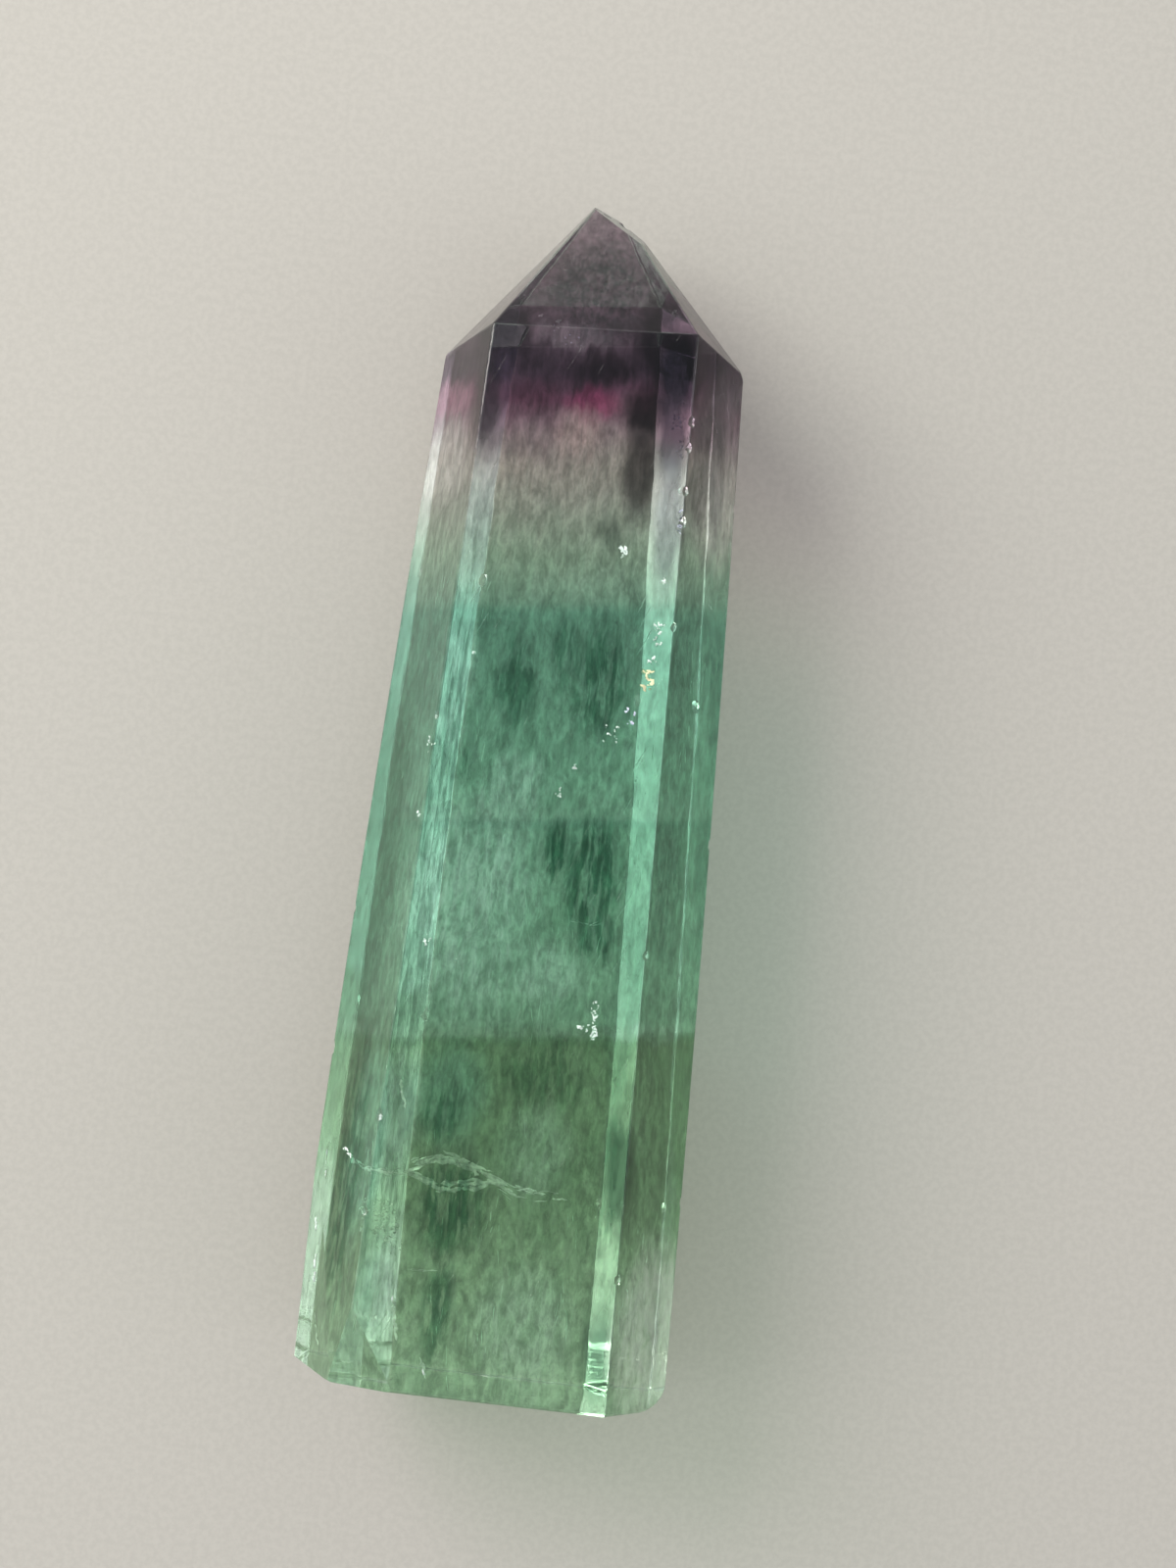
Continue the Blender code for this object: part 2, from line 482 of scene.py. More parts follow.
STAINS_AND_PAINTED_LIGHT = (
    StainAndPaintedLight(-9.9, 25.8, 2.0, 1.7, 0.75, (0.8, 0.4, 0.56)),
    StainAndPaintedLight(-9.9, 21.5, 2.2, 4.2, 0.75, (1.0, 0.96, 0.92)),
    StainAndPaintedLight(-7.4, 25.4, 1.5, 4.4, 0.9, (0.03, 0.025, 0.03)),
    StainAndPaintedLight(-7.0, 30.2, 2.8, 2.8, 0.9, (0.01, 0.008, 0.014)),
    StainAndPaintedLight(-2.4, 28.2, 4.2, 2.0, 0.35, (0.04, 0.025, 0.04)),
    StainAndPaintedLight(-1.6, 30.3, 3.8, 1.0, 0.6, (0.45, 0.36, 0.44)),
    StainAndPaintedLight(0.8, 28.6, 3.6, 1.5, 0.75, (0.006, 0.004, 0.007)),
    StainAndPaintedLight(-4.0, 26.1, 3.0, 1.5, 0.55, (0.14, 0.05, 0.09)),
    StainAndPaintedLight(0.3, 26.3, 2.8, 1.5, 0.5, (0.5, 0.07, 0.22)),
    StainAndPaintedLight(-0.6, 24.2, 2.4, 2.2, 0.55, (0.8, 0.62, 0.6)),
    StainAndPaintedLight(4.6, 31.0, 2.2, 4.2, 0.85, (0.006, 0.004, 0.008)),
    StainAndPaintedLight(6.2, 28.8, 2.4, 4.6, 0.99, (0.001, 0.001, 0.003)),
    StainAndPaintedLight(4.4, 26.0, 2.6, 2.2, 0.92, (0.003, 0.002, 0.003)),
    StainAndPaintedLight(4.3, 22.2, 2.0, 4.4, 0.78, (0.03, 0.027, 0.026)),
    StainAndPaintedLight(6.3, 24.2, 1.8, 4.0, 0.96, (0.012, 0.01, 0.016)),
    StainAndPaintedLight(6.6, 18.6, 1.7, 6.0, 0.8, (0.1, 0.11, 0.13)),
    StainAndPaintedLight(2.6, 17.8, 1.3, 1.8, 0.42, (0.04, 0.08, 0.06)),
    StainAndPaintedLight(-12.9, 4.0, 2.2, 26.0, 0.92, (0.03, 0.08, 0.06)),
    StainAndPaintedLight(10.4, 26.0, 3.0, 4.4, 0.75, (0.36, 0.33, 0.33)),
    StainAndPaintedLight(7.2, -24.0, 1.5, 6.0, 0.92, (0.02, 0.06, 0.03)),
    StainAndPaintedLight(6.6, -13.0, 1.5, 9.0, 0.4, (0.1, 0.25, 0.16)),
    StainAndPaintedLight(-10.8, -6.0, 2.8, 17.0, 0.85, (0.08, 0.22, 0.14)),
    # Painted light: a bright mint lift along the front-left edge's lower half, where a bright band
    # shows.
    StainAndPaintedLight(-8.3, -24.0, 1.6, 9.0, 0.6, (0.45, 0.95, 0.7)),
    StainAndPaintedLight(-3.8, -20.4, 3.4, 4.6, 0.4, (0.2, 0.52, 0.38)),
    StainAndPaintedLight(10.0, 20.0, 2.4, 5.0, 0.7, (0.85, 0.8, 0.76)),
    # Painted shade: these two darken the foot of the bright band by the base's right corner.
    StainAndPaintedLight(6.9, -35.6, 1.4, 6.0, 0.5, (0.1, 0.22, 0.12)),
    StainAndPaintedLight(7.1, -36.4, 1.5, 3.6, 0.9, (0.05, 0.13, 0.08)),
    # Painted light: a colour brighter than white lightens the right face near the base.
    StainAndPaintedLight(10.0, -35.0, 3.0, 8.0, 0.92, (1.25, 1.3, 1.2)),
)


def dimmed(colour: Colour, share: float) -> Colour:
    """A colour at a share of its brightness."""
    return tuple(share * channel for channel in colour)


@dataclass(frozen=True)
class FluoriteFinish:
    """Polished fluorite, clear enough to see through, with zoned colour."""

    ior: float = 1.434
    roughness: float = 0.03
    dulled_roughness: float = 0.22
    transmission: float = 0.84
    tint: Colour = (0.82, 0.93, 0.87)
    density: float = 14.0
    wave_height: float = 0.00004
    lamp_share: float = 0.5
    milk: Colour = (0.3, 0.52, 0.42)
    deep: Colour = (0.04, 0.24, 0.17)
    gap_strength: float = 0.1
    # Pale colour of the rounded edges: wear, and a painted highlight along them.
    worn_and_highlit: Colour = (0.86, 0.88, 0.87)
    worn_and_highlit_share: float = 0.8
    worn_roughness: float = 0.35
    wobble: Pattern = Pattern(0.3, 3.0, 0.6)
    swing: Easing = (13.0, 22.0, 0.5, 3.6)
    veil_gaps: Easing = (0.0, 1.0, 1.0, 0.55)
    window_gaps: Easing = (0.0, 1.0, 0.3, 1.4)
    grain: Pattern = Pattern(1.8, 5.0, 0.72, 0.4)
    grain_shade: Easing = (0.3, 0.7, 0.66, 1.56)
    chipping: Pattern = Pattern(1.4, 2.0, 0.6)
    chipped: Easing = (0.36, 0.6, 0.55, 1.0)

    def zoned_colour(self, w: Wiring, growth: Socket) -> Socket:
        """Colours the crystal by its height along the growth axis.

        Args:
            w: The material's wiring.
            growth: Height along the growth axis in millimetres.

        Returns:
            The zoned colour.
        """
        low, high = min(ZONES), max(ZONES)
        share = w.maths("DIVIDE", w.maths("SUBTRACT", growth, low), high - low)
        node = w.add("ShaderNodeValToRGB", share)
        stops = node.color_ramp.elements
        for stop, height in zip(stops, (low, high)):
            stop.color = (*ZONES[height], 1.0)
        for height in sorted(ZONES)[1:-1]:
            stops.new((height - low) / (high - low)).color = (*ZONES[height], 1.0)
        return node.outputs["Color"]

    def gathered(self, w: Dressing, position: Socket, patches: Sequence[Cloud]) -> Socket:
        """Gathers several clouds into one mask."""
        masks = (patch.mask(w, position) for patch in patches)
        return reduce(partial(w.maths, "MAXIMUM"), masks)

    def body_colour(self, w: Dressing) -> Socket:
        """Lays stains, veils, windows and a mottled grain over the zoned colour; a few stains and
        one window are painted light and shade.

        Args:
            w: The material's wiring.

        Returns:
            The colour.
        """
        wobble = w.maths("SUBTRACT", w.noise(w.place, self.wobble), NOISE_MEAN)
        wobble = w.times(wobble, w.ramp(w.growth, *self.swing))
        colour = self.zoned_colour(w, w.maths("ADD", w.growth, wobble))
        straight = w.effects.straightening.put(w, position=w.place)["Position"]
        frayed = w.effects.fraying.put(w, position=straight, scale=0.6, reach=0.45)["Position"]
        # Stains, with a few painted light and shade marks.
        for stain_and_light in STAINS_AND_PAINTED_LIGHT:
            colour = w.mix(stain_and_light.mask(w, frayed), colour, stain_and_light.colour)
        gaps = w.effects.streaks.put(
            w, position=frayed, scale=2.8, stretch=0.12, threshold=0.38, width=0.24
        )["Mask"]
        veil = self.gathered(w, frayed, VEILS)
        veil = w.times(veil, w.ramp(gaps, *self.veil_gaps))
        colour = w.mix(veil, colour, self.milk, "SCREEN")
        # Windows, and the painted shade of the left face's dark leaf.
        window = self.gathered(w, frayed, WINDOWS_AND_PAINTED_SHADE)
        window = w.times(window, w.ramp(gaps, *self.window_gaps))
        window = w.maths("MAXIMUM", window, w.times(gaps, self.gap_strength))
        clear = w.maths("SUBTRACT", 1.0, window)
        dark = w.maths("SUBTRACT", 1.0, w.times(clear, clear))
        colour = w.mix(dark, colour, self.deep, "MULTIPLY")
        shade = w.ramp(w.noise(frayed, self.grain), *self.grain_shade)
        return w.scaled(colour, shade)

    def material(self, effects: Effects) -> bpy.types.Material:
        """Builds the crystal's material.

        Args:
            effects: The shader groups.

        Returns:
            The material.
        """
        w = Dressing("polished_fluorite", effects)
        colour = self.body_colour(w)
        # Whitens the rounded edges: partly wear, partly a painted highlight line where the edges
        # catch light.
        worn_and_highlit = w.add("ShaderNodeAttribute", attribute_name=WEAR_AND_HIGHLIGHT).outputs["Fac"]
        worn_and_highlit = w.times(worn_and_highlit, w.ramp(w.noise(w.place, self.chipping), *self.chipped))
        colour = w.mix(w.times(worn_and_highlit, self.worn_and_highlit_share), colour, self.worn_and_highlit)
        height, dulling = w.effects.polish.put(w, position=w.place)
        rough = w.ramp(dulling, 0.0, 1.0, self.roughness, self.dulled_roughness)
        bump = w.add("ShaderNodeBump", 1.0, self.wave_height)
        w.feed(bump.inputs["Height"], height)
        w.dress(
            {
                "Base Color": colour,
                "Roughness": w.maths("MAXIMUM", rough, w.times(worn_and_highlit, self.worn_roughness)),
                "Normal": bump.outputs["Normal"],
                "IOR": self.ior,
                "Transmission Weight": self.transmission,
            }
        )
        inside = w.add("ShaderNodeVolumeAbsorption", self.tint, self.density)
        plain = self.zoned_colour(w, w.growth)
        through = w.add("ShaderNodeBsdfTransparent", w.mix(self.lamp_share, plain, WHOLE))
        ray = w.add("ShaderNodeLightPath").outputs["Is Shadow Ray"]
        either = w.add("ShaderNodeMixShader", ray, w.shader.outputs[0], through.outputs[0])
        surface = w.tree.nodes["Material Output"]
        w.feed(surface.inputs["Volume"], inside.outputs["Volume"])
        w.feed(surface.inputs["Surface"], either.outputs["Shader"])
        return w.material


@dataclass(frozen=True)
class InclusionFinish:
    """Finish of the small things frozen in the crystal, opaque or mirror-like."""

    name: str
    colour: Colour
    metallic: float
    roughness: float
    clouds: Pattern = Pattern(1.7)
    dim_share: float = 0.7
    mottle: Span = (0.35, 0.6)
    dulling: Easing = (0.3, 0.7, 0.6, 1.5)

    def material(self, effects: Effects) -> bpy.types.Material:
        """Builds the inclusion's material.

        Args:
            effects: The shader groups.

        Returns:
            The material.
        """
        w = Dressing(self.name, effects)
        clouds = w.noise(w.place, self.clouds)
        dim = dimmed(self.colour, self.dim_share)
        colour = w.mix(w.ramp(clouds, *self.mottle), dim, self.colour)
        low, high, *ends = self.dulling
        rough = w.ramp(clouds, low, high, *(self.roughness * end for end in ends))
        w.dress({"Base Color": colour, "Roughness": rough, "Metallic": self.metallic})
        return w.material


class Inclusion(Enum):
    """The kinds of small thing seen inside the crystal."""

    THREAD = InclusionFinish("milky_thread", (0.5, 0.7, 0.58), 0.0, 0.6)
    # Also dresses the painted highlight strokes along the lower left edge.
    FRACTURE_AND_HIGHLIGHT = InclusionFinish("silvery_fracture_and_highlight", (0.88, 0.97, 0.92), 0.2, 0.3)
    # Painted glints: opaque white, gold and lilac specks standing in for sparkles of reflected
    # light.
    WHITE = InclusionFinish("white_glint", (0.78, 0.92, 0.85), 0.1, 0.2)
    GOLD = InclusionFinish("golden_glint", (1.0, 0.94, 0.6), 0.1, 0.2)
    LILAC = InclusionFinish("lilac_glint", (0.78, 0.8, 1.0), 0.1, 0.2)


@dataclass(frozen=True)
class TableFinish:
    """Plain pale table with the faintest grain."""

    colour: Colour = (0.5, 0.48, 0.44)
    roughness: float = 0.8
    grain: Pattern = Pattern(2.2, 4.0, 0.6)
    dim_share: float = 0.93
    mottle: Span = (0.35, 0.65)

    def material(self, effects: Effects) -> bpy.types.Material:
        """Builds the table's material.

        Args:
            effects: The shader groups.

        Returns:
            The material.
        """
        w = Dressing("pale_table", effects)
        grain = w.ramp(w.noise(w.place, self.grain), *self.mottle)
        colour = w.mix(grain, dimmed(self.colour, self.dim_share), self.colour)
        w.dress({"Base Color": colour, "Roughness": self.roughness})
        return w.material


@dataclass(frozen=True)
class EdgePath:
    """One long edge: its path, where it meets the tip, and its wear and painted highlight below and
    above.

    The path's triples are the value at the base, at the shoulder, and the bow half way.
    """

    across: Triple
    height: Triple
    ridge_end: float
    wear_and_highlight: Span

    def at(self, y: float, shoulder: float) -> Vector:
        """The edge's point at a height above the base.

        Args:
            y: The height above the base.
            shoulder: The height that the sizes at the shoulder are given for.

        Returns:
            The point.
        """
        share = y / shoulder
        x, z = (
            base + (end - base) * share + 4.0 * bow * share * (1.0 - share)
            for base, end, bow in (self.across, self.height)
        )
        return Vector((x, y, z))


class LongEdge(Enum):
    """The six long edges, in order round the section."""

    # The last pair is how pale the rounded edge is below and above crisp_above: wear, and a painted
    # highlight line.
    FRONT_LEFT = EdgePath((-9.0, -7.13, 0.0), (16.4, 14.2, 0.0), 70.6, (0.1, 0.7))
    FRONT_RIGHT = EdgePath((8.54, 6.48, 0.0), (16.4, 14.2, 0.0), 71.4, (0.12, 0.35))
    RIGHT = EdgePath((12.45, 9.85, 0.2), (10.65, 10.4, 0.0), 69.4, (0.2, 0.2))
    BACK_RIGHT = EdgePath((7.0, 4.1, 0.35), (0.0, 0.0, 0.0), 71.3, (0.04, 0.04))
    BACK_LEFT = EdgePath((-6.27, -5.58, -0.6), (0.0, 0.0, 0.0), 70.2, (0.04, 0.04))
    LEFT = EdgePath((-13.1, -10.35, -0.28), (9.0, 5.8, 0.0), 69.0, (0.25, 0.1))


@dataclass(frozen=True)
class Rounding:
    """A rounded upright corner of the outline: its radius and number of flat cuts."""

    radius: float
    cuts: int


@dataclass(frozen=True)
class Shell:
    """A shell-shaped bite: where it's centred and how big, and how it ripples."""

    centre: Vector
    radius: float
    fineness: int = 3
    # Bite faces are whitened too: wear on the chips, and a painted highlight.
    wear_and_highlight: ClassVar[float] = 0.35
    ripple: ClassVar[float] = 0.02
    ripples: ClassVar[float] = 16.0
    ripple_axis: ClassVar[Triple] = (0.3, 0.5, 0.8)
    lumps: ClassVar[float] = 2.0
    lump_height: ClassVar[float] = 0.1

    def cutter(self, number: int) -> bpy.types.Object:
        """Makes the rippled ball that leaves the bite.

        Args:
            number: Tells the cutters apart.

        Returns:
            The cutter.
        """
        shape = bmesh.new()
        bmesh.ops.create_icosphere(shape, subdivisions=self.fineness, radius=1.0)
        layer = shape.faces.layers.float.new(WEAR_AND_HIGHLIGHT)
        for face in shape.faces:
            face[layer] = self.wear_and_highlight
        for vertex in shape.verts:
            way = vertex.co.normalized()
            ripple = math.sin(way.angle(Vector(self.ripple_axis)) * self.ripples)
            rough = noise.noise(way * self.lumps + Vector((number, 0.0, 0.0)))
            reach = 1.0 + self.ripple * ripple + self.lump_height * rough
            vertex.co = self.centre + way * self.radius * reach
        return finish_piece(f"cutter_{number}", shape)


TIP_BITES = (
    Shell(Vector((-0.3, 79.9, 7.2)), 0.55, 4),
    Shell(Vector((0.9, 79.35, 6.8)), 0.62, 4),
    Shell(Vector((2.0, 78.85, 7.3)), 0.58, 4),
)

# The small chips on each long edge: height above the base, radius and depth.
NICKS: dict[LongEdge, tuple[Triple, ...]] = {
    LongEdge.FRONT_RIGHT: (
        (65.6, 0.6, 0.07),
        (63.9, 0.5, 0.05),
        (61.0, 0.5, 0.05),
        (59.0, 0.8, 0.05),
        (52.0, 0.5, 0.05),
        (30.3, 0.5, 0.05),
        (9.0, 0.6, 0.06),
    ),
    LongEdge.FRONT_LEFT: (
        (62.0, 0.5, 0.05),
        (44.5, 0.5, 0.05),
        (18.0, 0.7, 0.08),
        (11.6, 0.5, 0.06),
    ),
    LongEdge.LEFT: ((56.0, 0.7, 0.09), (31.0, 0.6, 0.08), (21.5, 0.9, 0.12)),
    LongEdge.RIGHT: ((60.5, 0.6, 0.08), (38.0, 0.8, 0.1), (14.0, 0.6, 0.08)),
    LongEdge.BACK_RIGHT: ((47.0, 0.9, 0.1), (12.5, 0.8, 0.1)),
    LongEdge.BACK_LEFT: ((54.0, 0.8, 0.1), (24.0, 1.0, 0.12)),
}

# Flat broken or worn spots, each on the plane through three points.
BREAKS = (
    ((-1.3, 80.0, 6.8), (2.2, 78.25, 6.8), (0.6, 78.5, 8.6)),
    ((-8.85, 5.2, 16.2), (-5.6, 0.2, 16.4), (-9.56, 1.5, 15.1)),
    ((-10.21, 2.5, 14.0), (-12.75, 2.5, 8.2), (-12.72, 15.5, 8.3)),
    ((-9.6, 0.0, 16.0), (-12.6, 0.45, 8.5), (-10.6, 0.0, 4.0)),
)


@dataclass
class CrystalBody:
    """The whole crystal as one closed faceted solid."""

    shoulder: float = 70.0
    stock: float = 84.0
    stations: int = 42
    edge_radius: float = 0.26
    edge_steps: int = 4
    weld: float = 1e-5
    flat_angle: float = math.radians(0.05)
    sharp_angle: float = math.radians(22.0)
    strip_width: float = 0.14
    strip_bend: float = math.radians(3.0)
    strip_share: float = 0.6
    end_wear_and_highlight: float = 0.2
    edge_reach: float = 2.5
    ridge_share: float = 0.97
    flank_wear_and_highlight: float = 0.3
    edge_loss: float = 0.1
    sink_step: float = 0.02
    crisp_above: float = 54.0
    straight_to: float = 50.0
    left_aim: ClassVar[Vector] = Vector((-0.95, 80.6, 7.0))
    right_aim: ClassVar[Vector] = Vector((-0.25, 80.7, 7.0))
    base_corner: Rounding = Rounding(1.8, 14)
    right_shoulder: Rounding = Rounding(2.4, 10)
    left_shoulder: Rounding = Rounding(1.4, 8)
    mesh: bmesh.types.BMesh = field(default_factory=bmesh.new)

    @property
    def middle(self) -> Vector:
        """A point well inside the body."""
        return Vector((0.0, self.shoulder / 2.0, 8.0))

    def edge_at(self, edge: LongEdge, y: float) -> Vector:
        """A long edge's point at height y above the base."""
        return edge.value.at(y, self.shoulder)

    def corners_at(self, y: float) -> list[Vector]:
        """The six sharp corners of the section at height y."""
        return [self.edge_at(edge, y) for edge in LongEdge]

    def ridge_end(self, edge: LongEdge) -> Vector:
        """Where a long edge meets the facets of the tip."""
        return self.edge_at(edge, edge.value.ridge_end)

    def depth_of(self, point: Vector) -> float:
        """How deep a point lies under the nearest of the six long faces.

        Args:
            point: The point, in millimetres above the base.

        Returns:
            The depth, below zero outside.
        """
        corners = self.corners_at(point.y)
        middle = sum(corners, Vector()) / len(corners)
        depths = []
        for corner, following in zip(corners, corners[1:] + corners[:1]):
            side = following - corner
            normal = Vector((side.z, 0.0, -side.x)).normalized()
            if normal.dot(middle - corner) < 0.0:
                normal.negate()
            depths.append(normal.dot(point - corner))
        return min(depths)

    def sink(self, point: Vector, margin: float) -> Vector:
        """Lowers a point until it lies inside the crystal.

        Args:
            point: The point.
            margin: How deep it has to lie.

        Returns:
            The lowered point.
        """
        lowered = point.copy()
        while self.depth_of(lowered) < margin and lowered.z > self.middle.z:
            lowered.z -= self.sink_step
        return lowered

    def arc(self, corner: Vector, before: Vector, after: Vector) -> list[Vector]:
        """Rounds one corner of the section.

        Args:
            corner: The sharp corner.
            before: The corner before it.
            after: The corner after it.

        Returns:
            Points along the arc that replaces the corner.
        """
        arriving = (before - corner).normalized()
        leaving = (after - corner).normalized()
        half = arriving.angle(leaving) / 2.0
        inward = (arriving + leaving).normalized()
        centre = corner + inward * (self.edge_radius / math.sin(half))
        leg = self.edge_radius / math.tan(half)
        start = corner + arriving * leg - centre
        end = corner + leaving * leg - centre
        sweep = start.angle(end)
        shares = (step / self.edge_steps for step in range(self.edge_steps + 1))
        return [
            centre
            + (start * math.sin(sweep * (1.0 - share)) + end * math.sin(sweep * share))
            / math.sin(sweep)
            for share in shares
        ]

    def section(self, y: float) -> list[Vector]:
        """The hexagonal section at height y, with rounded corners.

        Args:
            y: The height above the base.

        Returns:
            The section's points in order.
        """
        corners = self.corners_at(y)
        around = zip(corners, corners[-1:] + corners[:-1], corners[1:] + corners[:1])
        return [point for triple in around for point in self.arc(*triple)]

    def loft(self) -> None:
        """Lays the sections up into a body longer than the crystal, closed at both ends."""
        heights = (self.stock * station / self.stations for station in range(self.stations + 1))
        rings = [[self.mesh.verts.new(point) for point in self.section(y)] for y in heights]
        sides = len(rings[0])
        for lower, upper in zip(rings, rings[1:]):
            for i in range(sides):
                j = (i + 1) % sides
                self.mesh.faces.new((lower[i], lower[j], upper[j], upper[i]))
        self.mesh.faces.new(rings[0])
        self.mesh.faces.new(rings[-1])
        bmesh.ops.recalc_face_normals(self.mesh, faces=self.mesh.faces)

    def cut(self, point: Vector, normal: Vector) -> None:
        """Takes off what lies on the normal's side of a plane and closes the wound.

        Args:
            point: A point of the plane.
            normal: The plane's normal, out of the crystal.
        """
        done = bmesh.ops.bisect_plane(
            self.mesh,
            geom=[*self.mesh.verts, *self.mesh.edges, *self.mesh.faces],
            dist=self.weld,
            plane_co=point,
            plane_no=normal,
            clear_outer=True,
        )
        rim = [item for item in done["geom_cut"] if isinstance(item, bmesh.types.BMEdge)]
        if rim:
            bmesh.ops.edgeloop_fill(self.mesh, edges=rim)

    def cut_through(self, points: Iterable[Sequence[float]]) -> None:
        """Cuts on the plane through three points, keeping the middle of the body.

        Args:
            points: The three points.
        """
        first, second, third = map(Vector, points)
        normal = (second - first).cross(third - first).normalized()
        if (self.middle - first).dot(normal) > 0.0:
            normal.negate()
        self.cut(first, normal)

    def cut_termination(self) -> None:
        """Cuts one facet over each side of the hexagon, all meeting near the tip."""
        edges = list(LongEdge)
        for edge, following in zip(edges, edges[1:] + edges[:1]):
            on_right = edge in (LongEdge.FRONT_RIGHT, LongEdge.RIGHT)
            aim = self.right_aim if on_right else self.left_aim
            self.cut_through((self.ridge_end(edge), self.ridge_end(following), aim))

    def round_corner(
        self, before: Vector, corner: Vector, after: Vector, rounding: Rounding
    ) -> None:
        """Rounds the outline at a corner with upright cuts that touch a circle inside it.

        Args:
            before: A point of the outline before the corner.
            corner: The corner.
            after: A point of the outline after it.
            rounding: The radius and number of cuts.
        """
        first = math.atan2(before.x - corner.x, corner.y - before.y)
        last = math.atan2(corner.x - after.x, after.y - corner.y)
        turn = (last - first) % math.tau
        outward = Vector((math.cos(first + turn / 2.0), math.sin(first + turn / 2.0), 0.0))
        centre = corner - outward * rounding.radius / math.cos(turn / 2.0)
        for i in range(rounding.cuts):
            angle = first + turn * (i + 1) / (rounding.cuts + 1)
            normal = Vector((math.cos(angle), math.sin(angle), 0.0))
            self.cut(centre + rounding.radius * normal, normal)

    def round_outline(self) -> None:
        """Rounds the base's right corner and both shoulders, as seen from above."""
        right_low = self.edge_at(LongEdge.RIGHT, 0.0)
        right_high = self.edge_at(LongEdge.RIGHT, self.straight_to)
        left_high = self.edge_at(LongEdge.LEFT, self.straight_to)
        right_end, left_end = self.ridge_end(LongEdge.RIGHT), self.ridge_end(LongEdge.LEFT)
        self.round_corner(Vector(), right_low, right_high, self.base_corner)
        self.round_corner(right_high, right_end, self.right_aim, self.right_shoulder)
        self.round_corner(self.left_aim, left_end, left_high, self.left_shoulder)

    def crisp(self, edge: bmesh.types.BMEdge) -> bool:
        """Whether an edge is sharp and doesn't follow the body's rounded length.

        Args:
            edge: An edge of the mesh.

        Returns:
            True where it has to be rounded.
        """
        run = (edge.verts[1].co - edge.verts[0].co).normalized()
        lengthwise = abs(run.y) > math.cos(self.sharp_angle / 2.0)
        return edge.calc_face_angle(0.0) > self.sharp_angle and not lengthwise

    def ease_edges(self) -> None:
        """Rounds the crisp edges of the base and of the tip."""
        self.mesh.normal_update()
        planes: list[tuple[Vector, Vector]] = []
        for edge in filter(self.crisp, self.mesh.edges):
            bend = edge.calc_face_angle()
            first, second = (face.normal.copy() for face in edge.link_faces)
            bisector = (first + second).normalized()
            middle = (edge.verts[0].co + edge.verts[1].co) / 2.0
            centre = middle - bisector * self.edge_radius / math.cos(bend / 2.0)
            axis = first.cross(second).normalized()
            for step in range(1, self.edge_steps):
                turn = bend * (step / self.edge_steps - 0.5)
                normal = Matrix.Rotation(turn, 3, axis) @ bisector
                planes.append((centre + self.edge_radius * normal, normal))
        for point, normal in planes:
            self.cut(point, normal)

    def is_strip(self, face: bmesh.types.BMFace) -> bool:
        """Whether a face is one narrow step of a rounded edge.

        Args:
            face: A face of the mesh.

        Returns:
            True for a narrow face with a bend along most of its rim.
        """
        around = face.calc_perimeter()
        bends = (edge for edge in face.edges if edge.calc_face_angle(0.0) > self.strip_bend)
        bent = sum(edge.calc_length() for edge in bends)
        narrow = 2.0 * face.calc_area() / around < self.strip_width
        return narrow and bent > self.strip_share * around

    def wear_and_highlight_of(self, face: bmesh.types.BMFace) -> float:
        """How worn a narrow face is, with a painted highlight line on the long edges, by the edge
        it belongs to.

        Args:
            face: One narrow step of a rounded edge.

        Returns:
            The wear, from 0 to 1.
        """
        middle = face.calc_center_median()
        nearest = min(LongEdge, key=lambda edge: (self.edge_at(edge, middle.y) - middle).length)
        outward = self.edge_at(nearest, middle.y) - middle
        if outward.length > self.edge_reach * self.edge_radius:
            return self.end_wear_and_highlight
        wear_and_highlight = nearest.value.wear_and_highlight[middle.y > self.crisp_above]
        on_ridge = face.normal.dot(outward.normalized()) > self.ridge_share
        return wear_and_highlight if on_ridge else self.flank_wear_and_highlight * wear_and_highlight

    def mark_wear_and_highlight(self) -> None:
        """Marks the narrow faces of the rounded edges as worn, with painted highlight lines along
        the long edges.
        """
        self.mesh.normal_update()
        layer = self.mesh.faces.layers.float.new(WEAR_AND_HIGHLIGHT)
        for face in self.mesh.faces:
            face[layer] = self.wear_and_highlight_of(face) if self.is_strip(face) else 0.0

    def nicks(self) -> list[Shell]:
        """The bites that leave the nicks of the long edges.

        Returns:
            The bites in order.
        """
        shells = []
        for edge, chips in NICKS.items():
            for height, radius, depth in chips:
                corner = self.edge_at(edge, height)
                outward = (corner - Vector((0.0, height, self.middle.z))).normalized()
                centre = corner + outward * (radius - depth - self.edge_loss)
                shells.append(Shell(centre, radius))
        return shells

    def build(self, effects: Effects) -> bpy.types.Object:
        """Cuts the crystal and dresses it.

        Args:
            effects: The shader groups.

        Returns:
            The finished piece.
        """
        self.loft()
        self.cut_termination()
        self.round_outline()
        self.ease_edges()
        for points in BREAKS:
            self.cut_through(points)
        bmesh.ops.dissolve_limit(
            self.mesh,
            angle_limit=self.flat_angle,
            verts=self.mesh.verts,
            edges=self.mesh.edges,
        )
        self.mark_wear_and_highlight()
        piece = finish_piece("crystal", self.mesh)
        carve(piece, (*TIP_BITES, *self.nicks()))
        settle(piece)
        piece.data.materials.clear()
        piece.data.materials.append(FluoriteFinish().material(effects))
        return piece


